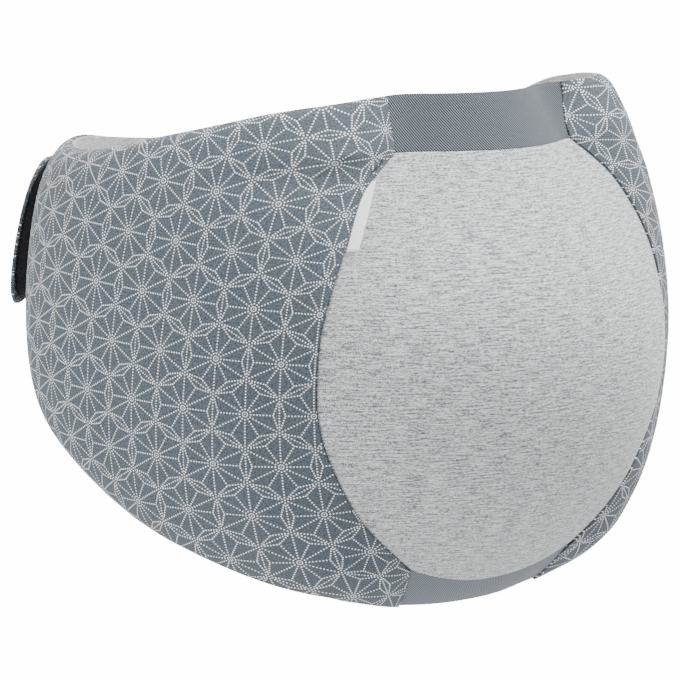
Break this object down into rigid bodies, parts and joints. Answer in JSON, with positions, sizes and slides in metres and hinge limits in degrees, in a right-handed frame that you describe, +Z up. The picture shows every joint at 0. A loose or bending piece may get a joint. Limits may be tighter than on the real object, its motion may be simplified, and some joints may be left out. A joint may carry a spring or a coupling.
{
  "type": "maternity support belt",
  "caption": "Wide padded belt in its worn form: stretch belly panel between two elastic bands, two padded wings, hook-and-loop closure behind.",
  "frame": {"origin": "on the wearer's upright axis, level with the fullest part of the belly", "axes": "+Z up, -Y to the wearer's front, +X to the wearer's left"},
  "size_m": [0.3658, 0.3585, 0.2855],
  "materials": {
    "jersey": "light grey heathered stretch jersey",
    "twill": "blue-grey elastic twill",
    "printed_cloth": "slate blue cloth printed with dotted stars",
    "hook_tape": "black hook tape, matte",
    "loop_tape": "slate loop tape, brushed",
    "ribbon": "white woven ribbon"
  },
  "bodies": {
    "root": {"belly_panel": "jersey", "top_band": "twill", "bottom_band": "twill", "right_pad": "printed_cloth", "right_lining": "jersey", "left_pad": "printed_cloth", "left_lining": "jersey", "closure_flap": "printed_cloth", "hook_patch": "hook_tape", "loop_patch": "loop_tape", "side_tag": "ribbon"}
  },
  "joints": []
}
